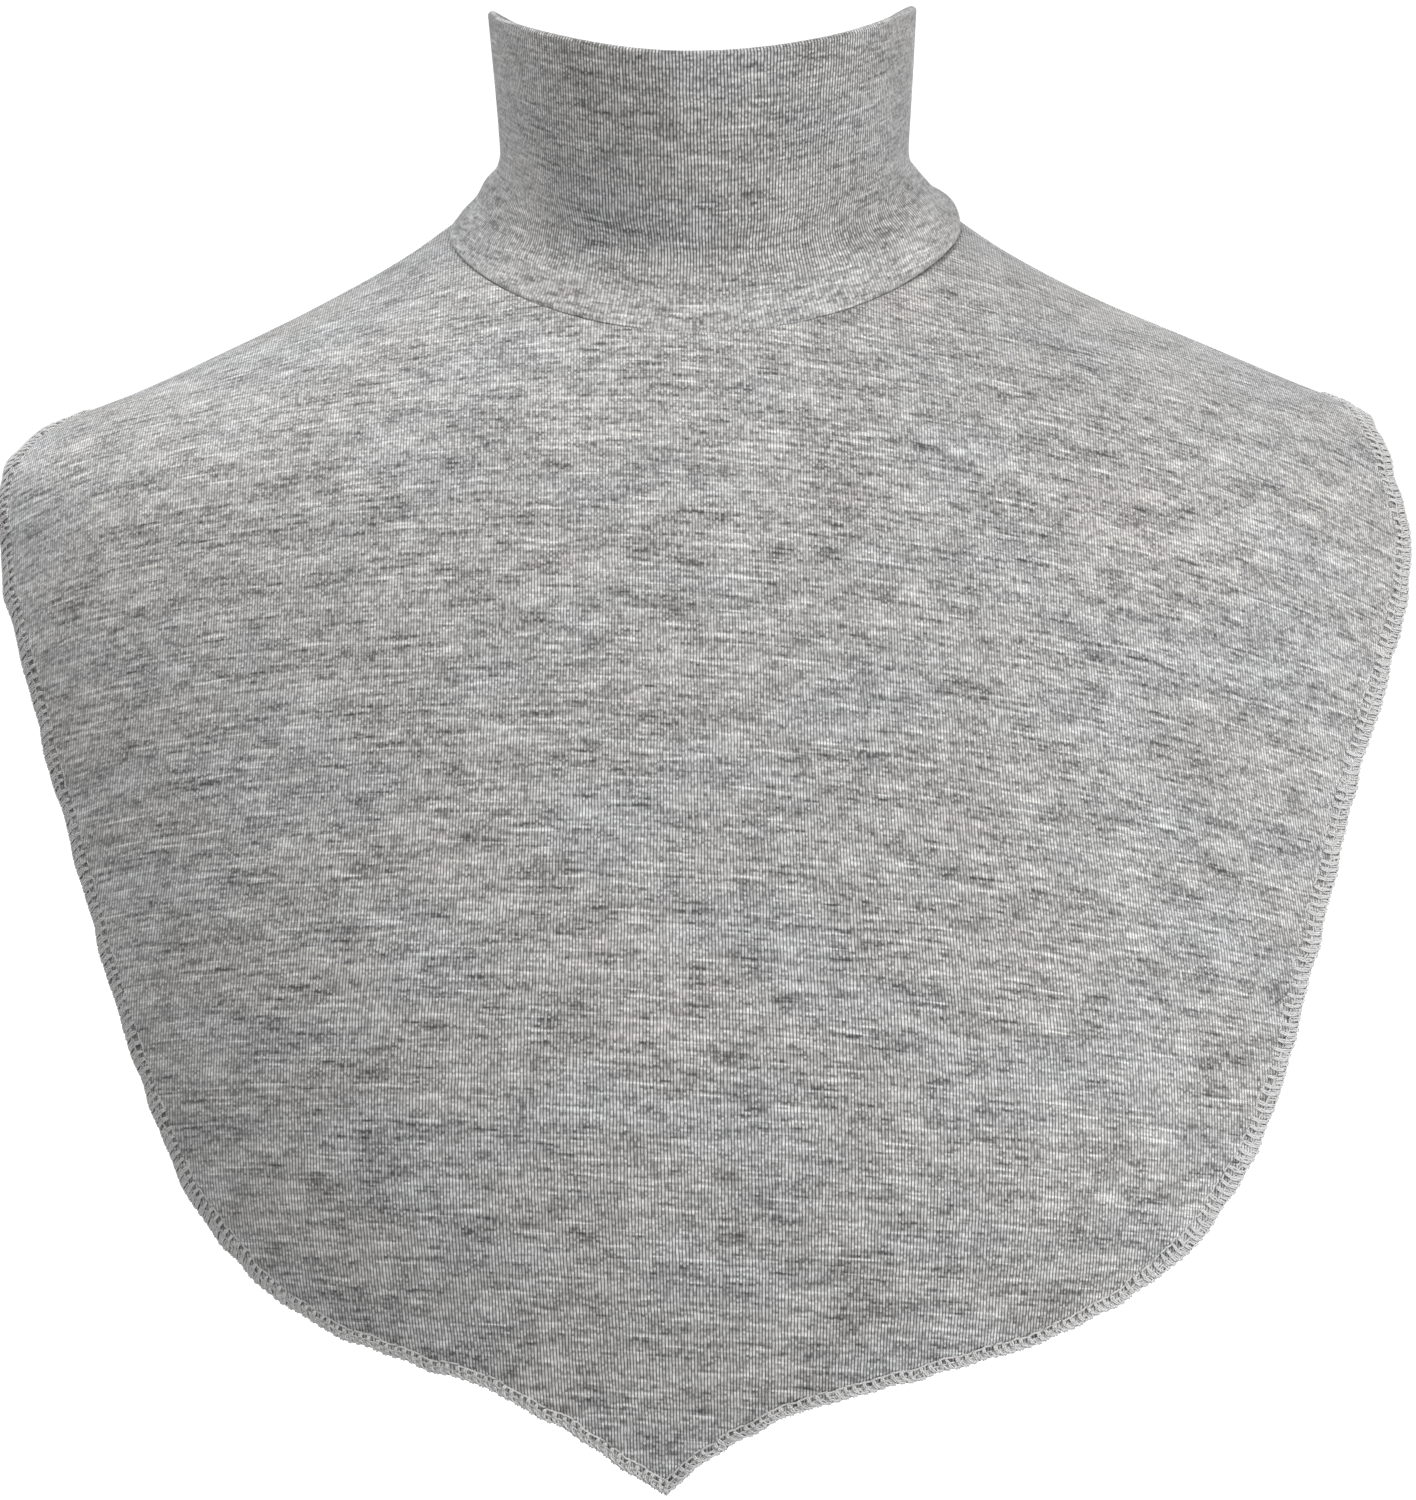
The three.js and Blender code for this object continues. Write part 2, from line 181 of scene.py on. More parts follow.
def whole_edge(rows, length):
    """A panel's edge from the right shoulder seam round to the left one: running length, angle and
    drop, and the running length at which the right side ends."""
    right, left = (edge_line(rows, side, length, EDGE_POINTS) for side in ("right", "left"))
    run = np.concatenate([right[2], right[2][-1] + (left[2][-1] - left[2][::-1])[1:]])
    angle = np.concatenate([right[0], left[0][::-1][1:]])
    drop = np.concatenate([right[1], left[1][::-1][1:]])
    return run, angle, drop, right[2][-1]


def edge_wave(run, seed):
    """How far the cut edge is drawn in or let out by its thread at each running length: a sum of
    four waves 10 to 40 mm long."""
    random = np.random.default_rng(seed)
    lengths = random.uniform(*EDGE_WAVE_LENGTHS, EDGE_WAVES)
    phases = random.uniform(0, 2 * np.pi, EDGE_WAVES)
    waves = zip(lengths, phases)
    return sum(EDGE_WAVE_HEIGHT * np.sin(2 * np.pi * run / length + phase) for length, phase in waves)


def edge_lift(run, inward):
    """How far the cloth stands off the body near its edge: soft waves along it, which drift in length
    and fade with the distance inward."""
    drift = LIFT_DRIFT * np.sin(run / LIFT_DRIFT_LENGTH)
    wave = EDGE_LIFT * np.sin(2 * np.pi * run / EDGE_LIFT_LENGTH + drift)
    return wave * np.exp(-inward / EDGE_LIFT_FADE)


def cloth_mesh(name, sections, stitches, comes_round):
    """Joins closed sections of cloth into one closed mesh with a UV map called stitches. Sections
    that don't come round are capped, each point of the outer face with the one under it."""
    count, size = sections.shape[:2]
    steps = count if comes_round else count - 1
    i, j = np.meshgrid(np.arange(steps), np.arange(size), indexing="ij")
    corners = [(i, j), (i + 1, j), (i + 1, j + 1), (i, j + 1)]
    faces = np.stack([(a % count) * size + b % size for a, b in corners], -1).reshape(-1, 4)
    wrapped = np.concatenate([stitches, stitches[:, :1]], axis=1)
    places = np.stack([wrapped[a, b] for a, b in corners], -2).reshape(-1, 2)
    if not comes_round:
        near = np.arange(size // 2 - 1)
        across, end = size - 1 - near, (count - 1) * size
        first = np.stack([near, near + 1, across - 1, across], -1)
        last = np.stack([near, across, across - 1, near + 1], -1)
        faces = np.concatenate([faces, first, last + end])
        ends = [stitches[0][first].reshape(-1, 2), stitches[-1][last].reshape(-1, 2)]
        places = np.concatenate([places, *ends])
    return woven(name, sections.reshape(-1, 3), faces, places)


def woven(name, points, faces, places):
    """A smooth piece from arrays of points, faces and a stitches UV for each corner of each face."""
    mesh = bpy.data.meshes.new(name)
    mesh.from_pydata(points.tolist(), [], faces.tolist())
    mesh.uv_layers.new(name="stitches").data.foreach_set("uv", places.astype(np.float32).ravel())
    mesh.polygons.foreach_set("use_smooth", np.ones(len(mesh.polygons), bool))
    mesh.validate()
    piece = bpy.data.objects.new(name, mesh)
    bpy.context.scene.collection.objects.link(piece)
    return piece


# The knit: stitches are 0.75 mm wide and 0.6 mm high. Their rows are bowed over the shoulders and a
# little askew, and their columns are stretched apart round a level across the chest.
WALE, COURSE = 0.00075, 0.0006
CHEST_REACH = 0.04
GRAIN_HALF_WIDTH, GRAIN_LENGTH = 0.19, 0.3
COLUMN_TURN = {"right": 0.3, "left": 0.2}
STRETCH, STRETCH_DROP, STRETCH_REACH = 0.1, 0.235, 0.085
ROW_SKEW, ROW_BOW, ROW_BOW_FADE = 0.08, {"right": 0.045, "left": 0.036}, 0.95


def bib_stitches(points, facing):
    """Columns and rows of stitches at points of a panel. Columns hang down, open up towards the sides
    and stretch apart. Rows count the way down, and the way out from the shoulder ridge, which fades
    over 40 mm, less the skew and the bow. facing is -1 for the front and 1 for the back."""
    x, y, z = np.moveaxis(points, -1, 0)
    share = x / GRAIN_HALF_WIDTH
    turn, bow = (np.where(x > 0, each["right"], each["left"]) for each in (COLUMN_TURN, ROW_BOW))
    apart = 1 - STRETCH * np.exp(-((-z - STRETCH_DROP) / STRETCH_REACH) ** 2)
    columns = x * (1 + turn * share**2 / 3) * apart
    ahead = facing * y
    out = CHEST_REACH * np.sign(ahead) * (1 - np.exp(-np.abs(ahead) / CHEST_REACH))
    bow = bow * (1 - ROW_BOW_FADE * np.clip(-z / GRAIN_LENGTH, 0, 1))
    return np.stack([columns / WALE, (-z + out - ROW_SKEW * x - bow * share**2) / COURSE], -1)


NECK_ROWS = np.array([0, 0.25, 0.5, 0.8, 1.2, 1.8, 2.8, 4.5, 7]) / 1000
EDGE_ROWS = np.array([9, 7.6, 6.6, 5.8, 4.6, 3.2, 1.9, 0.9, 0.3]) / 1000
MIDDLE_ROWS = 72
ROUGH_POINTS = 60
TURN_POINTS = np.radians([18, 54, 126, 162])
SEAM_STATIONS = np.array([0, 0.35, 0.8, 1.4, 2.2, 3.4]) / 1000
SPOKE_FAN, SPOKE_SWELL = 0.2, np.radians(28)
GROOVE_DEPTH, GROOVE_FILLED, GROOVE_REACH = 0.0009, 0.00085, 0.0005
SHOULDER_GROOVE, SHOULDER_GROOVE_REACH, NECK_CROWDING = 0.0005, 0.0011, 0.45
NEEDLE_IN, HEM_NEEDLE_IN, HEM_START, HEM_BLEND = 0.0062, 0.0032, 0.8, 0.08
NEEDLE_PRESS, NEEDLE_PRESS_LOSS, NEEDLE_PRESS_REACH = 0.0005, 0.04, 0.0007


def groove_depth(ahead):
    """Depth of the neckline's groove: full at the sides of the neck and behind, less what fills it in
    front, by the cube of how far ahead it is."""
    return GROOVE_DEPTH - GROOVE_FILLED * np.clip(ahead, 0, 1) ** 3


def needle_in(drop, length):
    """How far in from the cut edge the needle runs: closer along the hem than up the sides."""
    low = np.clip((drop - HEM_START * length) / (HEM_BLEND * length), 0, 1)
    return NEEDLE_IN + (HEM_NEEDLE_IN - NEEDLE_IN) * low * low * (3 - 2 * low)


def panel(name, rows, length, centre, stations, facing, seed):
    """Spokes run from the neckline to the edge, from the right shoulder seam round to the left one,
    and swell towards the panel's centre. Each is a closed section: outer face, rounded cut edge and
    inner face. The outer face sinks into the grooves of the seams and under the needle's line."""
    edge_run, edge_angle, edge_drop, right_end = whole_edge(rows, length)
    total = edge_run[-1]
    between = np.linspace(SEAM_STATIONS[-1], total - SEAM_STATIONS[-1], stations)[1:-1]
    run = np.concatenate([SEAM_STATIONS, between, total - SEAM_STATIONS[::-1]])
    angle, drop = np.interp(run, edge_run, edge_angle), np.interp(run, edge_run, edge_drop)
    from_left = (run[-1] - run) / (run[-1] - right_end)
    share = np.where(run <= right_end, run / right_end, from_left)[:, None]
    on_right = (run <= right_end)[:, None]
    side = np.where(on_right, 1, -1)
    fanned = share + SPOKE_FAN * np.sin(np.pi * share)
    turn = SHOULDER_SEAM_ANGLE + (centre - SHOULDER_SEAM_ANGLE) * fanned
    start = np.where(on_right, turn, np.sign(centre) * np.pi - turn)
    towards = np.sign(centre) * side
    inset = towards * (SEAM_GAP / 2 / SEAM_HALF_WIDTH) * (1 - share)
    swell = towards * SPOKE_SWELL * np.sin(np.pi * fanned)
    end_angle, end_drop = angle[:, None], drop[:, None]

    def spoke(out):
        turned = start + (end_angle - start) * out + inset + 2 * out * (1 - out) * swell
        return turned, SEAM_GAP / 2 + (end_drop - SEAM_GAP / 2) * out

    rough = np.linspace(0, 1, ROUGH_POINTS)[None]
    long = np.linalg.norm(np.diff(body(*spoke(rough)), axis=1), axis=-1).sum(1)[:, None]
    drawn = edge_wave(run, seed)[:, None] / long
    near, far = NECK_ROWS / long, 1 - EDGE_ROWS / long
    middle = near[:, -1:] + (far[:, :1] - near[:, -1:]) * np.linspace(0, 1, MIDDLE_ROWS + 2)[1:-1]
    out = np.concatenate([near, middle, far], axis=1)
    places = spoke(out * (1 - drawn))
    outer = body(*places)
    normal = outward(body, *places)
    to_seam, to_edge = out * long, (1 - out) * long
    to_shoulder = np.minimum(run, total - run)[:, None] * (NECK_CROWDING + (1 - NECK_CROWDING) * out)
    sunk = groove_depth(np.sin(places[0]) * (facing < 0)) * np.exp(-(to_seam / GROOVE_REACH) ** 2)
    sunk = sunk + SHOULDER_GROOVE * np.exp(-(to_shoulder / SHOULDER_GROOVE_REACH) ** 2)
    needle = needle_in(end_drop, length)
    press = NEEDLE_PRESS - NEEDLE_PRESS_LOSS * (needle - HEM_NEEDLE_IN)
    pressed = press * np.exp(-((to_edge - needle) / NEEDLE_PRESS_REACH) ** 2)
    lifted = edge_lift(run[:, None], to_edge)
    outer = outer + normal * (lifted - sunk - pressed)[..., None]
    inner = outer - normal * CLOTH
    rim_out = unit(outer[:, -1] - outer[:, -2])
    middle_line = (outer[:, -1] + inner[:, -1]) / 2
    arc = np.stack([
        middle_line + normal[:, -1] * (CLOTH / 2 * np.cos(over)) + rim_out * (EDGE_BULGE * np.sin(over))
        for over in TURN_POINTS
    ], axis=1)
    sections = np.concatenate([outer, arc, inner[:, ::-1]], axis=1)
    flat = bib_stitches(sections, facing)
    if centre < 0:
        sections, flat = sections[::-1], flat[::-1]
    return cloth_mesh(name, sections, flat, comes_round=False)


def worked(tree, operation, *values, kind="ShaderNodeMath"):
    """A node that works out one operation on sockets or plain numbers, and its first output."""
    node = tree.nodes.new(kind)
    node.operation = operation
    for socket, value in zip(node.inputs, values):
        if isinstance(value, bpy.types.NodeSocket):
            tree.links.new(value, socket)
        else:
            socket.default_value = value
    return node.outputs[0]


def set_values(node, values):
    """Sets input sockets of a node, by label, to plain values."""
    for label, value in values.items():
        node.inputs[label].default_value = value


def mottle(tree, place, size, detail):
    """Soft noise whose patches have the given size (across, down) in stitches, from 0 to 1."""
    noise = tree.nodes.new("ShaderNodeTexNoise")
    set_values(noise, {"Scale": 1, "Detail": detail})
    scaled = worked(tree, "MULTIPLY", place, (1 / size[0], 1 / size[1], 1), kind="ShaderNodeVectorMath")
    tree.links.new(scaled, noise.inputs["Vector"])
    return noise.outputs["Fac"]


# What makes the heather: sizes are in stitches across and down, and shares say how much each counts.
WOBBLE_SIZE, WOBBLE_ACROSS, WOBBLE_DOWN = (9, 14), 0.7, 0.5
LEG_LEAN, GAP_DEPTH, GAP_SHADE, SPLIT_SLOPE, SPLIT_DEPTH = 1.5, 0.3, 0.16, 8, 0.35
WISP_SIZE, WISP_SHARE, DARK_WISPS = (16, 1.7), 7.6, 0.5
STREAK_SIZE, STREAK_SHARE = (9, 1.9), 1.1
PATCH_SIZE, PATCH_SHARE = (30, 12), 0.6
SPECK_SHARE, EVEN_BLEND = 0.5, 0.48
TONE_SIZE, TONE_SHARE = (60, 48), 3


def heather_jersey():
    """Node group for jersey. Columns of V stitches: each leg leans out from the middle of its column.
    The yarn's light and dark fibres lie in streaks along the rows, in looser patches, and differ a
    little from stitch to stitch. Wider patches are a little warmer or cooler in tone. The colour also
    holds painted shade: darker in the grooves between the columns, as much as its groove shade input
    says, and in the gaps between the rows."""
    tree = bpy.data.node_groups.new("heather jersey", "ShaderNodeTree")
    for label, kind in (("Stitches", "NodeSocketVector"), ("Light fibre", "NodeSocketColor"),
                        ("Dark fibre", "NodeSocketColor"), ("Warm", "NodeSocketColor"),
                        ("Cool", "NodeSocketColor"), ("Streaks", "NodeSocketFloat"),
                        ("Ridge", "NodeSocketFloat"), ("Painted groove shade", "NodeSocketFloat")):
        tree.interface.new_socket(label, in_out="INPUT", socket_type=kind)
    tree.interface.new_socket("Colour", in_out="OUTPUT", socket_type="NodeSocketColor")
    tree.interface.new_socket("Height", in_out="OUTPUT", socket_type="NodeSocketFloat")
    given, made = tree.nodes.new("NodeGroupInput"), tree.nodes.new("NodeGroupOutput")
    place = given.outputs["Stitches"]
    wobble = mottle(tree, place, WOBBLE_SIZE, 1)
    apart = tree.nodes.new("ShaderNodeSeparateXYZ")
    tree.links.new(place, apart.inputs[0])
    column = worked(tree, "ADD", apart.outputs["X"], worked(tree, "MULTIPLY", wobble, WOBBLE_ACROSS))
    row = worked(tree, "ADD", apart.outputs["Y"], worked(tree, "MULTIPLY", wobble, WOBBLE_DOWN))
    across = worked(tree, "ABSOLUTE", worked(tree, "SUBTRACT", worked(tree, "FRACT", column), 0.5))
    groove = worked(tree, "POWER", worked(tree, "MULTIPLY", across, 2), given.outputs["Ridge"])
    leaning = worked(tree, "ADD", row, worked(tree, "MULTIPLY", across, LEG_LEAN))
    leg = worked(tree, "ABSOLUTE", worked(tree, "SUBTRACT", worked(tree, "FRACT", leaning), 0.5))
    gap = worked(tree, "POWER", worked(tree, "MULTIPLY", leg, 2), 3)
    split = worked(tree, "SUBTRACT", 1, worked(tree, "MULTIPLY", across, SPLIT_SLOPE))
    split = worked(tree, "MULTIPLY", worked(tree, "MAXIMUM", split, 0), SPLIT_DEPTH)
    high = worked(tree, "SUBTRACT", 1, groove)
    sunk = worked(tree, "SUBTRACT", 1, worked(tree, "MULTIPLY", gap, GAP_DEPTH))
    high = worked(tree, "MULTIPLY", high, sunk)
    high = worked(tree, "SUBTRACT", high, split)
    stitch = tree.nodes.new("ShaderNodeTexWhiteNoise")
    stitch.noise_dimensions = "2D"
    cell = tree.nodes.new("ShaderNodeCombineXYZ")
    tree.links.new(worked(tree, "FLOOR", column), cell.inputs["X"])
    tree.links.new(worked(tree, "FLOOR", leaning), cell.inputs["Y"])
    tree.links.new(cell.outputs[0], stitch.inputs["Vector"])
    wisp = worked(tree, "SUBTRACT", mottle(tree, place, WISP_SIZE, 1), 0.5)
    wisp = worked(tree, "MULTIPLY", wisp, worked(tree, "ABSOLUTE", wisp))
    wisp = worked(tree, "MAXIMUM", wisp, worked(tree, "MULTIPLY", wisp, DARK_WISPS))
    streak = worked(tree, "SUBTRACT", mottle(tree, place, STREAK_SIZE, 3), 0.5)
    patch = worked(tree, "SUBTRACT", mottle(tree, place, PATCH_SIZE, 2), 0.5)
    speck = worked(tree, "SUBTRACT", stitch.outputs["Value"], 0.5)
    blend = worked(tree, "MULTIPLY", wisp, WISP_SHARE)
    blend = worked(tree, "ADD", blend, worked(tree, "MULTIPLY", streak, STREAK_SHARE))
    blend = worked(tree, "ADD", blend, worked(tree, "MULTIPLY", patch, PATCH_SHARE))
    blend = worked(tree, "MULTIPLY", blend, given.outputs["Streaks"])
    blend = worked(tree, "ADD", blend, worked(tree, "MULTIPLY", speck, SPECK_SHARE))
    blend = worked(tree, "ADD", blend, EVEN_BLEND)
    mix = tree.nodes.new("ShaderNodeMix")
    mix.data_type = "RGBA"
    tree.links.new(blend, mix.inputs[0])
    tree.links.new(given.outputs["Dark fibre"], mix.inputs[6])
    tree.links.new(given.outputs["Light fibre"], mix.inputs[7])
    # Painted shade: the colour is darkened in the grooves between the columns and in the gaps between
    # the rows, where shade falls.
    shade = worked(tree, "SUBTRACT", 1, worked(tree, "MULTIPLY", groove, given.outputs["Painted groove shade"]))
    dimmed = worked(tree, "SUBTRACT", 1, worked(tree, "MULTIPLY", gap, GAP_SHADE))
    shade = worked(tree, "MULTIPLY", shade, dimmed)
    tone = tree.nodes.new("ShaderNodeMix")
    tone.data_type = "RGBA"
    cool = worked(tree, "SUBTRACT", mottle(tree, place, TONE_SIZE, 2), 0.5)
    tree.links.new(worked(tree, "MULTIPLY_ADD", cool, TONE_SHARE, 0.5), tone.inputs[0])
    tree.links.new(given.outputs["Warm"], tone.inputs[6])
    tree.links.new(given.outputs["Cool"], tone.inputs[7])
    toned = worked(tree, "MULTIPLY", mix.outputs[2], tone.outputs[2], kind="ShaderNodeVectorMath")
    shaded = tree.nodes.new("ShaderNodeVectorMath")
    shaded.operation = "SCALE"
    tree.links.new(toned, shaded.inputs[0])
    tree.links.new(shade, shaded.inputs["Scale"])
    tree.links.new(shaded.outputs[0], made.inputs["Colour"])
    tree.links.new(high, made.inputs["Height"])
    return tree


STITCH_HEIGHT = 0.0002
LIGHT_FIBRE, DARK_FIBRE = (0.975, 0.965, 0.96, 1), (0.125, 0.12, 0.122, 1)
WARM_TONE, COOL_TONE = (1.015, 1.0, 0.975, 1), (0.985, 0.998, 1.01, 1)


def jersey_material(name, streaks, ridge, rows, groove_shades):
    """Jersey: the heather pattern read from the stitches UV and raised, with fine fuzz. The painted
    shade between its columns goes from the first given strength at the first of the rows to the
    second at the second, to paint the knit darker or lighter there for how light falls on it."""
    material = bpy.data.materials.new(name)
    material.use_nodes = True
    tree = material.node_tree
    shader = tree.nodes["Principled BSDF"]
    set_values(shader, {"Roughness": 0.9, "Specular IOR Level": 0.25, "Sheen Weight": 0.42,
                        "Sheen Roughness": 0.35, "Sheen Tint": (0.95, 0.95, 0.96, 1)})
    uv = tree.nodes.new("ShaderNodeUVMap")
    uv.uv_map = "stitches"
    knit = tree.nodes.new("ShaderNodeGroup")
    knit.node_tree = HEATHER
    set_values(knit, {"Light fibre": LIGHT_FIBRE, "Dark fibre": DARK_FIBRE, "Warm": WARM_TONE,
                      "Cool": COOL_TONE, "Streaks": streaks, "Ridge": ridge})
    apart = tree.nodes.new("ShaderNodeSeparateXYZ")
    tree.links.new(uv.outputs["UV"], apart.inputs[0])
    change = tree.nodes.new("ShaderNodeMapRange")
    set_values(change, {"From Min": rows[0], "From Max": rows[1],
                        "To Min": groove_shades[0], "To Max": groove_shades[1]})
    tree.links.new(apart.outputs["Y"], change.inputs["Value"])
    tree.links.new(change.outputs["Result"], knit.inputs["Painted groove shade"])
    bump = tree.nodes.new("ShaderNodeBump")
    set_values(bump, {"Strength": 1, "Distance": STITCH_HEIGHT})
    tree.links.new(uv.outputs["UV"], knit.inputs["Stitches"])
    tree.links.new(knit.outputs["Colour"], shader.inputs["Base Color"])
    tree.links.new(knit.outputs["Height"], bump.inputs["Height"])
    tree.links.new(bump.outputs["Normal"], shader.inputs["Normal"])
    return material


HEATHER = heather_jersey()
# The painted shade between the columns grows down the panels, so the lower chest is painted darker.
JERSEY = jersey_material("heather jersey", 1.0, ridge=2.2, rows=(120, 560), groove_shades=(0.68, 1.0))

front_panel = panel("front_jersey", FRONT_EDGE, FRONT_LENGTH, np.pi / 2, 400, -1, seed=11)
front_panel.data.materials.append(JERSEY)
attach(front_panel, "root")
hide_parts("front_panel")

# The back panel
# The same jersey, cut shorter and to a rounded hem, over the upper back. It meets the front panel in
# the shoulder seams, and the photograph doesn't show it, so it is plain.
BACK_LENGTH = 0.212
BACK_EDGE = np.array([
    # at, right, left
    (0.78, -6, -6),
    (0.85, -17, -17),
    (1.0, -27, -27),
    (1.1, -34, -34),
    (1.3, -40, -40),
    (1.6, -45, -45),
    (1.82, -52, -52),
    (1.94, -65, -65),
    (2.0, -90, -90),
])
back_panel = panel("back_jersey", BACK_EDGE, BACK_LENGTH, -np.pi / 2, 320, 1, seed=23)
back_panel.data.materials.append(JERSEY)
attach(back_panel, "root")
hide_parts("back_panel")

# The collar
# One strip of the same jersey, closed into a tube at centre back and folded at the rim, so that it
# stands double. Both its cut edges are sewn into the neckline seam, and it flares out over its base.
TUBE_HALF_WIDTH, TUBE_HALF_DEPTH = 0.0548, 0.0545
RIM_HALF_WIDTH, RIM_HALF_DEPTH, RIM_FORWARD = 0.057, 0.0536, 0.022
RIM_HEIGHT, RIM_FRONT_DROP, RIM_BACK_DROP, RIM_SIDE_TILT = 0.0554, 0.018, 0.012, 0.0095
COLLAR_LAYER, COLLAR_SLIT = 0.0009, 0.0005
TUBE_START = 0.38

# How far out from the tube the flare reaches, as a share of the way to the neckline seam, at each
# share of the way up the collar.
FLARE = np.array([
    # up, on the right, elsewhere
    (0.0, 1.0, 1.0),
    (0.04, 0.995, 0.89),
    (0.1, 0.91, 0.72),
    (0.18, 0.54, 0.46),
    (0.24, 0.22, 0.25),
    (0.3, 0.05, 0.07),
    (TUBE_START, 0.0, 0.0),
    (1.0, 0.0, 0.0),
])


def collar_face(angle, down):
    """Points of the collar's outer face, a share of the way down from rim to seam: a tube that leans
    forward from the seam's centre to the rim's, widens to the rim, and flares into the seam."""
    angle, down = np.broadcast_arrays(angle, down)
    up = 1 - down
    across, ahead = np.cos(angle), np.sin(angle)
    seam = body(angle, np.zeros_like(up))
    rim = RIM_HEIGHT - drop_round(ahead, RIM_SIDE_TILT, RIM_FRONT_DROP, RIM_BACK_DROP)
    widen = np.maximum(0, up - TUBE_START) / (1 - TUBE_START)
    wide = TUBE_HALF_WIDTH + (RIM_HALF_WIDTH - TUBE_HALF_WIDTH) * widen
    deep = TUBE_HALF_DEPTH + (RIM_HALF_DEPTH - TUBE_HALF_DEPTH) * widen
    on_right = np.clip(across, 0, 1) ** 2
    at_right, elsewhere = (through(FLARE[:, 0], column, up) for column in FLARE[:, 1:].T)
    flare = at_right * on_right + elsewhere * (1 - on_right)
    x = wide * across * (1 - flare) + seam[..., 0] * flare
    y = (-RIM_FORWARD * up - deep * ahead) * (1 - flare) + seam[..., 1] * flare
    z = (seam[..., 2] + SEAM_GAP / 2) * down + rim * up
    return np.stack([x, y, z], axis=-1)


BASE_ROWS = np.array([6.5, 5.2, 4.2, 3.4, 2.6, 1.9, 1.3, 0.8, 0.5, 0.25, 0]) / 1000
WALL_ROWS = 46
COLLAR_STATIONS = 330
FOLD_TURNS = np.radians([150, 110, 70, 30])
COLLAR_WALE, FLARE_BUNCH, BUNCH_START, BUNCH_LENGTH = 0.00085, 0.17, 0.6, 0.3
ROLL_HEIGHT, ROLL_LEVEL, ROLL_REACH = 0.00015, 0.0016, 0.0010
CREASE_HEIGHT, CREASE_SPAN, CREASE_LEVEL, CREASE_REACH = 0.0007, 0.0021, 0.0125, 0.0055
CREASE_SWAY, CREASE_LEAST, CREASE_TURN = 2.2, 0.15, 0.25
BROAD_WAVE, BROAD_TURNS, BROAD_SHIFT, BROAD_SLANT = 0.0007, 3, 1.1, 20
SMALL_WAVE, SMALL_TURNS, SMALL_SLANT = 0.0003, 7, 60
FALL_POINTS = 80


def collar():
    """Closed sections round the neck: outer face down from the rim, slit between the layers, inner
    face up again, and the rounded fold at the rim. The base rolls over into the seam's groove, the
    flare has two soft creases along the seam, and the wall is a little uneven, as soft cloth is."""
    angle = np.linspace(0, 2 * np.pi, COLLAR_STATIONS, endpoint=False)[:, None] - np.pi / 2
    fall = collar_face(angle, np.linspace(0, 1, FALL_POINTS)[None])
    high = np.linalg.norm(np.diff(fall, axis=1), axis=-1).sum(1)[:, None]
    base = 1 - BASE_ROWS / high
    wall = base[:, :1] * np.linspace(0, 1, WALL_ROWS + 1)[:-1]
    down = np.concatenate([wall, base], axis=1)
    turned = np.broadcast_to(angle, down.shape)
    normal = outward(collar_face, turned, down)
    to_seam = (1 - down) * high
    ahead = np.sin(turned)
    roll = ROLL_HEIGHT * np.exp(-((to_seam - ROLL_LEVEL) / ROLL_REACH) ** 2)
    sunk = groove_depth(ahead) * np.exp(-(to_seam / GROOVE_REACH) ** 2)
    crease = CREASE_HEIGHT * np.sin(to_seam / CREASE_SPAN + CREASE_SWAY * np.sin(2 * turned))
    crease = crease * np.exp(-((to_seam - CREASE_LEVEL) / CREASE_REACH) ** 2)
    crease = crease * (CREASE_LEAST + (1 - CREASE_LEAST) * np.abs(np.cos(turned + CREASE_TURN)))
    broad = np.sin(BROAD_TURNS * turned + BROAD_SHIFT + BROAD_SLANT * to_seam)
    uneven = BROAD_WAVE * broad * np.sin(np.pi * np.clip(down, 0, 1))
    uneven = uneven + SMALL_WAVE * np.sin(SMALL_TURNS * turned - SMALL_SLANT * to_seam)
    outer = collar_face(turned, down) + normal * (roll - sunk + crease + uneven)[..., None]
    wall_depth = 2 * COLLAR_LAYER + COLLAR_SLIT
    slit_out = outer - normal * COLLAR_LAYER
    slit_in = outer - normal * (COLLAR_LAYER + COLLAR_SLIT)
    inner = outer - normal * wall_depth
    upward = unit(outer[:, 0] - outer[:, 2])[:, None]
    top = normal[:, :1]
    half = wall_depth / 2
    over = FOLD_TURNS[None, :, None]
    fold = outer[:, :1] + half * (top * (np.cos(over) - 1) + upward * np.sin(over))
    sections = np.concatenate([outer, slit_out[:, :2:-1], slit_in[:, 3:], inner[:, ::-1], fold], axis=1)
    radius = (TUBE_HALF_WIDTH + TUBE_HALF_DEPTH) / 2
    wales = round(2 * np.pi * radius / COLLAR_WALE)
    down = np.concatenate([down, down[:1]])
    rows_down = down * np.concatenate([high, high[:1]]) / COURSE
    half_fold = np.pi * half / COURSE
    outer_v, inner_v = rows_down, -rows_down - half_fold
    slit_out_v, slit_in_v = outer_v[:, :2:-1], inner_v[:, 3:]
    fold_v = np.tile(-half_fold * (1 - FOLD_TURNS / np.pi), (len(rows_down), 1))
    along = np.concatenate([outer_v, slit_out_v, slit_in_v, inner_v[:, ::-1], fold_v], axis=1)
    level = np.concatenate([down, down[:, :2:-1], down[:, 3:], down[:, ::-1], 0 * fold_v], axis=1)
    turn = np.linspace(0, 2 * np.pi, COLLAR_STATIONS + 1)[:, None] - np.pi / 2
    bunched = FLARE_BUNCH * np.clip((level - BUNCH_START) / BUNCH_LENGTH, 0, 1)
    around = wales / (2 * np.pi) * (turn - bunched * np.cos(turn))
    stitches = np.stack([around, along], -1)
    return cloth_mesh("collar_jersey", sections, stitches, comes_round=True)


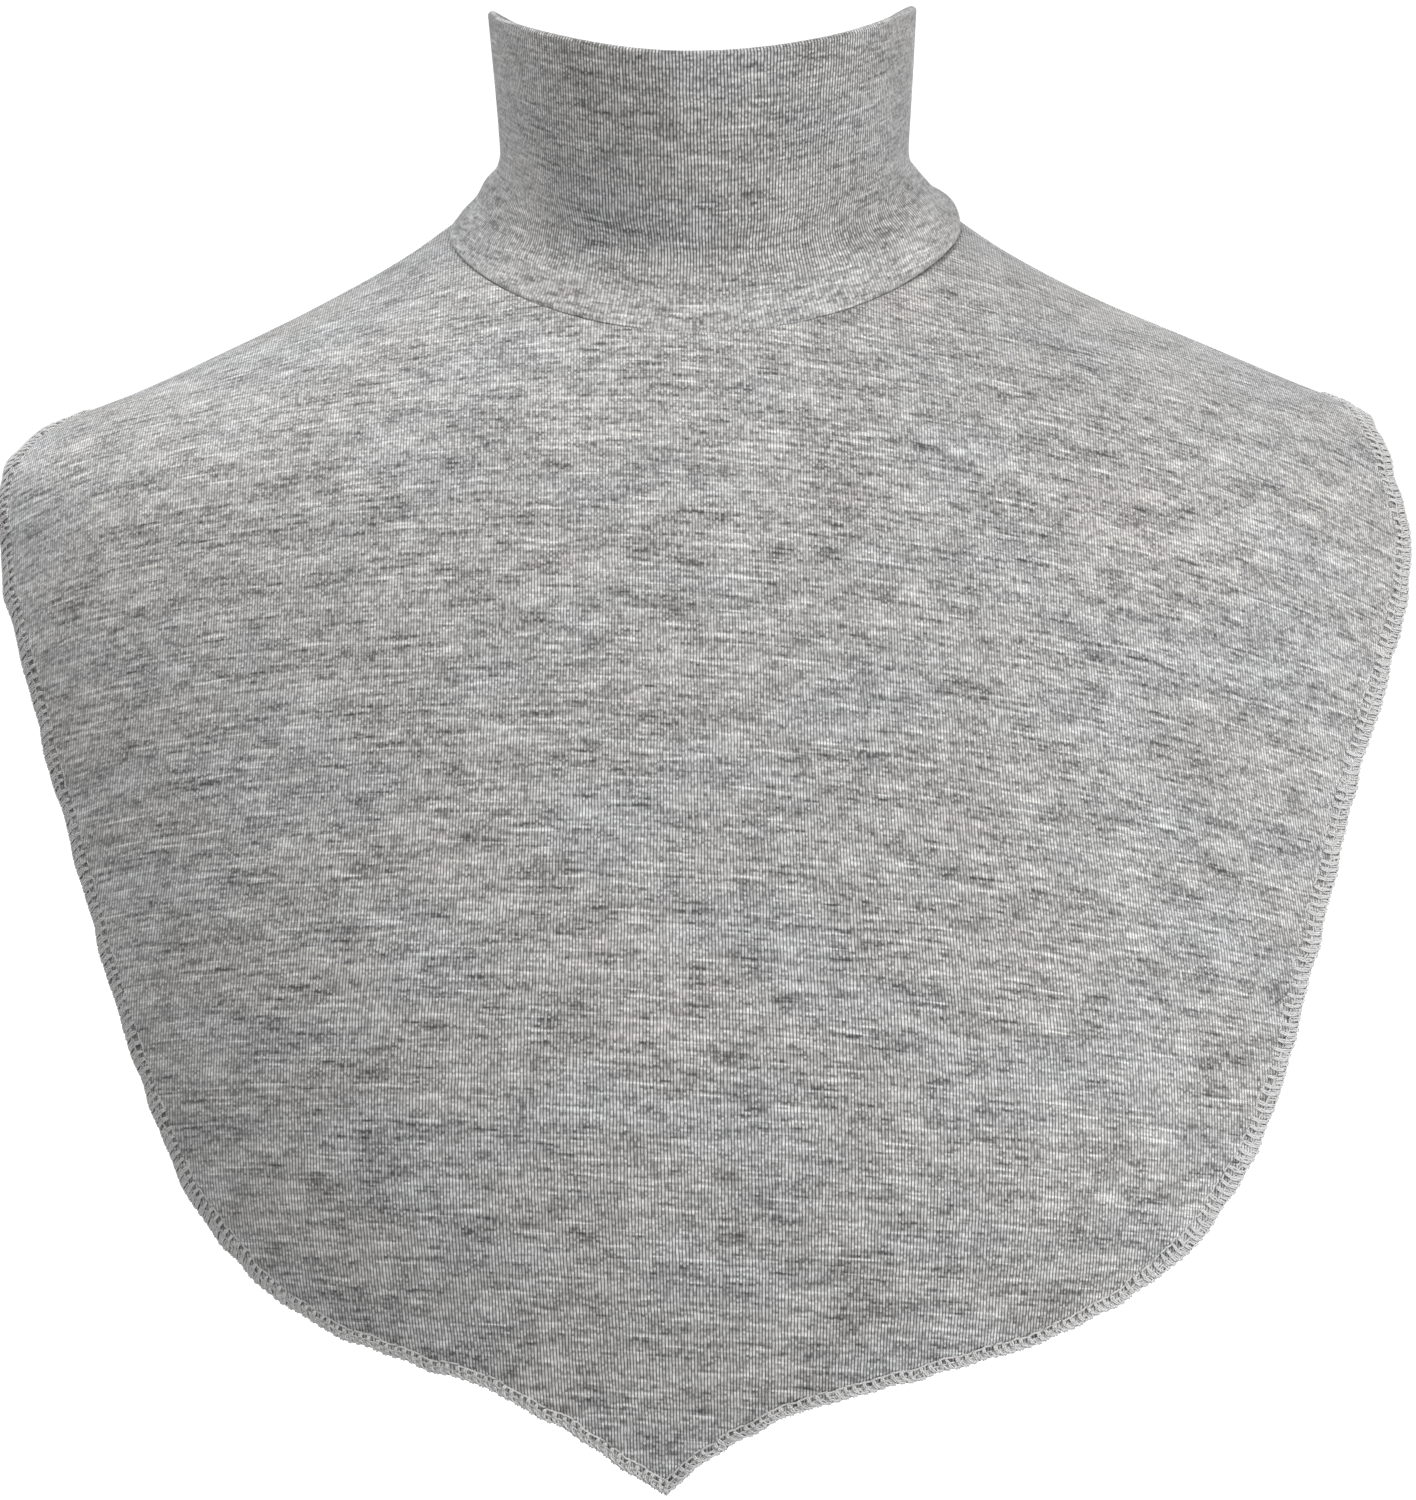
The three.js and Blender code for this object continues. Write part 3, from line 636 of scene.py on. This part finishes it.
# The collar's painted shade between the columns is wider, painting the tube darker, and weaker on the
# flare, painting the flare lighter.
TUBE_JERSEY = jersey_material("collar jersey with painted shade", 0.75, ridge=1.8, rows=(88, 112), groove_shades=(1.0, 0.5))
collar_piece = collar()
collar_piece.data.materials.append(TUBE_JERSEY)
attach(collar_piece, "root")
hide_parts("collar")

# The overlocking of the cut edges
# Grey thread in four strands. One runs from the edge in to the inner needle's line and back, one goes
# round the edge and under it, and the two needles' own threads tie them down to the cloth.
STITCH_PITCH, EDGE_INSET = 0.0024, 0.00065
THREAD_RADIUS, THREAD_SIDES = 0.00027, 5
START_STRAY, BEND_STRAY = 0.15, 0.03
WIDTH_SPREAD, LIFT_SPREAD = (0.9, 1.05), (0.5, 1.5)
LEAST_ACROSS, MOST_ACROSS = 0.01, 2
PROBE = 0.0004

# Bends of each strand in one stitch: along is a share of the pitch, and lift is in mm above the
# cloth. across is 1 at the inner needle's line, 0 at the edge, -1 under the edge and -2 under that
# line. The two needles' threads have the same bends, one line halfway in.
FACE_LOOP = np.array([
    # along, across, lift
    (-0.10, 0.02, 0.03),
    (0.04, 0.20, 0.12),
    (0.16, 0.36, 0.14),
    (0.27, 0.50, -0.28),
    (0.30, 0.66, 0.12),
    (0.31, 0.84, 0.10),
    (0.33, 0.97, -0.14),
    (0.41, 1.00, -0.36),
    (0.49, 0.97, -0.14),
    (0.51, 0.84, 0.10),
    (0.50, 0.66, 0.12),
    (0.47, 0.50, -0.28),
    (0.36, 0.36, 0.14),
    (0.25, 0.20, 0.12),
    (0.13, 0.02, 0.03),
])
EDGE_LOOP = np.array([
    # along, across, lift
    (0.66, 0.40, -0.30),
    (0.55, 0.22, -0.20),
    (0.42, 0.04, -0.06),
    (0.36, -0.30, 0.00),
    (0.34, -0.75, 0.04),
    (0.36, -1.20, 0.10),
    (0.40, -1.92, 0.06),
    (0.54, -1.92, 0.06),
    (0.60, -1.20, 0.10),
    (0.62, -0.75, 0.04),
    (0.62, -0.30, 0.00),
    (0.68, 0.04, -0.06),
    (0.80, 0.22, -0.20),
    (0.90, 0.40, -0.30),
    (1.10, 0.38, -0.50),
    (1.45, 0.38, -0.50),
])
NEEDLE_THREAD = np.array([
    # along, across, lift
    (0.42, 1.02, -0.70),
    (0.60, 1.04, -0.50),
    (0.92, 1.05, -0.44),
    (1.24, 1.04, -0.50),
])
MIDDLE_THREAD = NEEDLE_THREAD * (1, 0.49, 1) + (0.1, 0, 0.12)


def strand(points, away):
    """A thin tube along a path, as rings of points: each ring lies square to the path, and is turned
    so that its first point faces away from the cloth."""
    forward = unit(np.gradient(points, axis=0))
    beside = unit(np.cross(forward, away))
    above = np.cross(beside, forward)
    turn = np.linspace(0, 2 * np.pi, THREAD_SIDES, endpoint=False)[None, :, None]
    ring = above[:, None] * np.cos(turn) + beside[:, None] * np.sin(turn)
    return points[:, None] + THREAD_RADIUS * ring


def overlock(name, lay, length, width, cloth, seed):
    """Stitches along an edge. lay(run, inward) gives the cloth's face and the way off it at a running
    length and a distance in from the edge, width(run) how far in the needle runs."""
    random = np.random.default_rng(seed)
    count = round(length / STITCH_PITCH)
    starts = (np.arange(count) + random.uniform(-START_STRAY, START_STRAY, count))[:, None]
    rings, faces, places, used = [], [], [], 0
    for bends in (FACE_LOOP, EDGE_LOOP, NEEDLE_THREAD, MIDDLE_THREAD):
        stray = random.normal(0, BEND_STRAY, (2, count, len(bends)))
        along, across, lift = bends.T
        run = np.clip((starts + along + stray[0]) * length / count, 0, length).ravel()
        spread = across * random.uniform(*WIDTH_SPREAD, (count, 1)) + stray[1]
        across = np.where(across > 0, np.clip(spread, LEAST_ACROSS, MOST_ACROSS), across).ravel()
        lift = (lift * random.uniform(*LIFT_SPREAD, (count, 1))).ravel() / 1000
        share = np.where(across > 0, across, np.clip(-1 - across, 0, None))
        inward = EDGE_INSET + share * (width(run) - EDGE_INSET)
        face, off = lay(run, inward)
        inner = unit(lay(run, inward + PROBE)[0] - face)
        turn = np.clip(-across, 0, 1)[:, None] * np.pi
        away = unit(off * np.cos(turn) - inner * np.sin(turn))
        points = face - off * cloth / 2 + away * (cloth / 2 + lift + THREAD_RADIUS)[:, None]
        ring = strand(points, away)
        size = len(points)
        i, j = np.meshgrid(np.arange(size - 1), np.arange(THREAD_SIDES), indexing="ij")
        corners = [(i, j), (i, j + 1), (i + 1, j + 1), (i + 1, j)]
        quads = np.stack([a * THREAD_SIDES + b % THREAD_SIDES for a, b in corners], -1)
        faces.append(quads.reshape(-1, 4) + used)
        steps = np.linalg.norm(np.diff(points, axis=0), axis=-1)
        travelled = np.concatenate([[0], np.cumsum(steps)]) * 1000
        wound = np.stack([np.stack([travelled[a], b / THREAD_SIDES], -1) for a, b in corners], -2)
        places.append(wound.reshape(-1, 2))
        rings.append(ring.reshape(-1, 3))
        used += size * THREAD_SIDES
    piece = woven(name, np.concatenate(rings), np.concatenate(faces), np.concatenate(places))
    piece.data.materials.append(THREAD)
    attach(piece, "root")
    return piece


# The dark thread colour is painted shade in the grooves between the plies.
THREAD_GROOVE_SHADE, THREAD_LIGHT = (0.2, 0.196, 0.196, 1), (0.74, 0.73, 0.725, 1)
THREAD_TWIST, THREAD_PLIES, PLY_HEIGHT = 2.4, 2, 0.00008


def thread_material():
    """Spun thread: light grey, with the ridges of its twist slanting round it and painted shade in the
    grooves between them. The UV gives the way along the thread in mm and the share of the way round it."""
    material = bpy.data.materials.new("overlock thread")
    material.use_nodes = True
    tree = material.node_tree
    shader = tree.nodes["Principled BSDF"]
    set_values(shader, {"Roughness": 0.75, "Specular IOR Level": 0.3, "Sheen Weight": 0.2})
    uv = tree.nodes.new("ShaderNodeUVMap")
    uv.uv_map = "stitches"
    apart = tree.nodes.new("ShaderNodeSeparateXYZ")
    tree.links.new(uv.outputs["UV"], apart.inputs[0])
    wound = worked(tree, "MULTIPLY", apart.outputs["Y"], THREAD_PLIES)
    twist = worked(tree, "MULTIPLY_ADD", apart.outputs["X"], THREAD_TWIST, wound)
    ply = worked(tree, "ABSOLUTE", worked(tree, "SUBTRACT", worked(tree, "FRACT", twist), 0.5))
    ply = worked(tree, "SUBTRACT", 1, worked(tree, "POWER", worked(tree, "MULTIPLY", ply, 2), 3))
    mix = tree.nodes.new("ShaderNodeMix")
    mix.data_type = "RGBA"
    mix.inputs[6].default_value = THREAD_GROOVE_SHADE
    mix.inputs[7].default_value = THREAD_LIGHT
    bump = tree.nodes.new("ShaderNodeBump")
    set_values(bump, {"Distance": PLY_HEIGHT})
    tree.links.new(ply, mix.inputs[0])
    tree.links.new(mix.outputs[2], shader.inputs["Base Color"])
    tree.links.new(ply, bump.inputs["Height"])
    tree.links.new(bump.outputs["Normal"], shader.inputs["Normal"])
    return material


THREAD = thread_material()
LAY_STEP = 0.0005


def panel_lay(rows, length, facing, seed):
    """The lay of a panel's edge for overlock: the way in from the edge is worked out as a change of
    angle and of drop for each metre, from how the body's surface runs there. Also gives the edge's
    whole length and how far in the needle runs."""
    edge_run, edge_angle, edge_drop, _ = whole_edge(rows, length)

    def lay(run, inward):
        angle, drop = np.interp(run, edge_run, edge_angle), np.interp(run, edge_run, edge_drop)
        ahead = [np.interp(run + LAY_STEP, edge_run, a) for a in (edge_angle, edge_drop)]
        behind = [np.interp(run - LAY_STEP, edge_run, a) for a in (edge_angle, edge_drop)]
        tangent = unit(body(*ahead) - body(*behind))
        off = outward(body, angle, drop)
        inner = -facing * np.cross(tangent, off)
        by_angle = (body(angle + LAY_STEP, drop) - body(angle - LAY_STEP, drop)) / (2 * LAY_STEP)
        by_drop = (body(angle, drop + LAY_STEP) - body(angle, drop - LAY_STEP)) / (2 * LAY_STEP)
        round_it, down_it = (by_angle * by_angle).sum(-1), (by_drop * by_drop).sum(-1)
        askew = (by_angle * by_drop).sum(-1)
        in_round, in_down = (inner * by_angle).sum(-1), (inner * by_drop).sum(-1)
        even = round_it * down_it - askew * askew
        reach = inward + edge_wave(run, seed)
        turn = reach * (down_it * in_round - askew * in_down) / even
        fall = reach * (round_it * in_down - askew * in_round) / even
        place = angle + turn, drop + fall
        off = outward(body, *place)
        return body(*place) + off * edge_lift(run, inward)[:, None], off

    def width(run):
        return needle_in(np.interp(run, edge_run, edge_drop), length)

    return lay, edge_run[-1], width


front_overlock = overlock("front_overlock", *panel_lay(FRONT_EDGE, FRONT_LENGTH, -1, 11), CLOTH, seed=31)
back_overlock = overlock("back_overlock", *panel_lay(BACK_EDGE, BACK_LENGTH, 1, 23), CLOTH, seed=37)

# The neckline seam's allowance
# The cut edges of the collar and the panels, pressed up together inside the collar's base. They are
# 6 mm wide and overlocked on their free edge, which shows only from inside.
ALLOWANCE_WIDTH, ALLOWANCE_CLOTH, ALLOWANCE_NEEDLE = 0.0056, 0.0016, 0.0044
ALLOWANCE_ROWS, ALLOWANCE_ROW_STITCHES, ALLOWANCE_CLEAR = (1, 0.75, 0.5, 0.25, 0.06), 2.0, 0.0002


def allowance(name, lay, length, count, comes_round, node, seed):
    """A flat band of cut edges on a lay, from its sewn line out to its free edge, in one piece, and
    its overlock in another. The band takes the place of a CAD node."""
    inward = ALLOWANCE_WIDTH * np.array(ALLOWANCE_ROWS)[None]
    run = np.linspace(0, length, count, endpoint=not comes_round)[:, None]
    face, off = lay(*np.broadcast_arrays(run, inward))
    past_edge = unit(face[:, -1:] - face[:, -2:-1]) * EDGE_BULGE
    rounded = face[:, -1:] + past_edge - off[:, -1:] * ALLOWANCE_CLOTH / 2
    sections = np.concatenate([face, rounded, (face - off * ALLOWANCE_CLOTH)[:, ::-1]], axis=1)
    rows = np.arange(sections.shape[1]) * ALLOWANCE_ROW_STITCHES
    stitches = np.stack(np.broadcast_arrays(run / WALE, rows), -1)
    if comes_round:
        stitches = np.concatenate([stitches, stitches[:1] + (length / WALE, 0)])
    band = cloth_mesh(name, sections, stitches, comes_round)
    band.data.materials.append(JERSEY)
    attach(band, "root")
    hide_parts(node)

    def width(run):
        return np.full_like(run, ALLOWANCE_NEEDLE)

    return band, overlock(name + "_overlock", lay, length, width, ALLOWANCE_CLOTH, seed)


NECK_LENGTH, BASE_SHARE = 0.406, 0.1
NECK_DEPTH = 2 * COLLAR_LAYER + COLLAR_SLIT + ALLOWANCE_CLOTH + ALLOWANCE_CLEAR


def neck_lay(run, inward):
    """The allowance's inner face: up the collar's wall from the seam, on the side of the neck."""
    angle = run / NECK_LENGTH * 2 * np.pi
    base = collar_face(angle, 1 - BASE_SHARE) - collar_face(angle, 1.0)
    high = np.linalg.norm(base, axis=-1) / BASE_SHARE
    down = 1 - (ALLOWANCE_WIDTH - inward) / high
    normal = outward(collar_face, angle, down)
    return collar_face(angle, down) - normal * NECK_DEPTH, -normal


neck_pieces = allowance("neck_allowance", neck_lay, NECK_LENGTH, 240, True, "neck_seam", seed=41)

# The shoulder seams' allowances
# The cut edges of the front and the back panel, pressed flat under the seam along each shoulder. They
# are 6 mm wide and overlocked on their free edge, which lies towards the back.
SHOULDER_DEPTH = CLOTH + ALLOWANCE_CLOTH + ALLOWANCE_CLEAR
SHOULDER_POINTS, SHORT_OF_EDGE, TURN_STEP = 200, 0.001, 0.01


def shoulder_lay(side):
    """The allowance's lower face on one side, and how long it is: out along the seam from the
    neckline, and in from the free edge behind the seam."""
    middle = SHOULDER_SEAM_ANGLE if side == "right" else np.pi - SHOULDER_SEAM_ANGLE
    behind = -1 if side == "right" else 1
    end = edge_line(FRONT_EDGE, side, FRONT_LENGTH, 2)[1][0]
    drops = np.linspace(ALLOWANCE_WIDTH, end - SHORT_OF_EDGE, SHOULDER_POINTS)
    line = body(np.full(SHOULDER_POINTS, middle), drops)
    steps = np.linalg.norm(np.diff(line, axis=0), axis=-1)
    runs = np.concatenate([[0], np.cumsum(steps)])

    def lay(run, inward):
        drop = np.interp(run, runs, drops)
        turned = body(middle + TURN_STEP, drop) - body(middle - TURN_STEP, drop)
        per_turn = np.linalg.norm(turned, axis=-1) / (2 * TURN_STEP)
        angle = middle + behind * (ALLOWANCE_WIDTH / 2 - inward) / per_turn
        normal = outward(body, angle, drop)
        return body(angle, drop) - normal * SHOULDER_DEPTH, -normal

    return lay, runs[-1]


shoulder_pieces = []
for side, seed in (("right", 43), ("left", 47)):
    name, node = f"shoulder_allowance_{side}", f"shoulder_seam_{side}"
    shoulder_pieces += allowance(name, *shoulder_lay(side), 70, False, node, seed)

# Floor and light
# A plain white floor well below the hanging piece, soft lamps above it on both sides, a small one low
# on the right, one behind its left shoulder, one behind its back, and pale light from all round.
FLOOR_DROP, FLOOR_REACH, FLOOR_GLOW = 0.62, 30, 1.1
SKY_STRENGTH, SKY_SEEN = 0.38, 0.76
floor_corners = [(x * FLOOR_REACH, y * FLOOR_REACH, -FLOOR_DROP)
                 for x, y in ((-1, -1), (1, -1), (1, 1), (-1, 1))]
floor_mesh = bpy.data.meshes.new("floor")
floor_mesh.from_pydata(floor_corners, [], [(0, 1, 2, 3)])
floor = bpy.data.objects.new("floor", floor_mesh)
bpy.context.scene.collection.objects.link(floor)
white = bpy.data.materials.new("white floor")
white.use_nodes = True
paint = white.node_tree.nodes["Principled BSDF"]
set_values(paint, {"Base Color": (0.6, 0.6, 0.6, 1), "Roughness": 0.9, "Emission Color": (1, 1, 1, 1)})
looked_at = white.node_tree.nodes.new("ShaderNodeLightPath")
glow = worked(white.node_tree, "MULTIPLY", looked_at.outputs["Is Camera Ray"], FLOOR_GLOW)
white.node_tree.links.new(glow, paint.inputs["Emission Strength"])
floor_mesh.materials.append(white)

world = bpy.data.worlds.new("studio")
world.use_nodes = True
bpy.context.scene.world = world
sky = world.node_tree.nodes["Background"]
set_values(sky, {"Color": (0.96, 0.98, 1, 1)})
seen = world.node_tree.nodes.new("ShaderNodeLightPath")
strength = worked(world.node_tree, "MULTIPLY_ADD", seen.outputs["Is Camera Ray"], SKY_SEEN, SKY_STRENGTH)
world.node_tree.links.new(strength, sky.inputs["Strength"])

LAMP_AIM = Vector((0, -0.05, -0.15))


def lamp(name, place, size, power, colour):
    """A square soft lamp at a place, turned to the middle of the piece."""
    light = bpy.data.lights.new(name, "AREA")
    light.size, light.energy, light.color = size, power, colour
    piece = bpy.data.objects.new(name, light)
    piece.location = place
    piece.rotation_mode = "QUATERNION"
    piece.rotation_quaternion = (LAMP_AIM - Vector(place)).to_track_quat("-Z", "Y")
    bpy.context.scene.collection.objects.link(piece)


WARM, COOL = (1, 0.985, 0.965), (0.955, 0.98, 1)
lamp("upper_right", (0.9, -1.0, 1.0), 0.8, 15.4, WARM)
lamp("upper_left", (-0.65, -1.15, 0.9), 0.8, 8.8, WARM)
lamp("low_right", (0.8, -0.55, -0.5), 0.5, 5.8, COOL)
lamp("behind_left", (-0.45, 0.25, 0.75), 0.5, 6, COOL)
lamp("behind", (0.35, 1.3, 0.05), 0.8, 7, WARM)
bpy.context.scene.view_settings.view_transform = "Standard"

# Camera
# Level with the lower chest, 1.5 m in front, and turned 0.7 degrees, as in the photograph.
ROLL = math.radians(0.7)
CAMERA_RIGHT, CAMERA_DOWN, CAMERA_AWAY = 0.00108, 0.14067, 1.5
LENS, SENSOR_WIDTH = 133.33, 36
right = Vector((math.cos(ROLL), 0, -math.sin(ROLL)))
upright = Vector((math.sin(ROLL), 0, math.cos(ROLL)))
stand = right * CAMERA_RIGHT - upright * CAMERA_DOWN + Vector((0, -CAMERA_AWAY, 0))
lens = bpy.data.cameras.new("camera")
lens.lens, lens.sensor_width = LENS, SENSOR_WIDTH
camera = bpy.data.objects.new("camera", lens)
camera.matrix_world = Matrix([
    (right.x, upright.x, 0, stand.x),
    (right.y, upright.y, -1, stand.y),
    (right.z, upright.z, 0, stand.z),
    (0, 0, 0, 1),
])
bpy.context.scene.collection.objects.link(camera)
bpy.context.scene.camera = camera

bpy.context.view_layer.update()
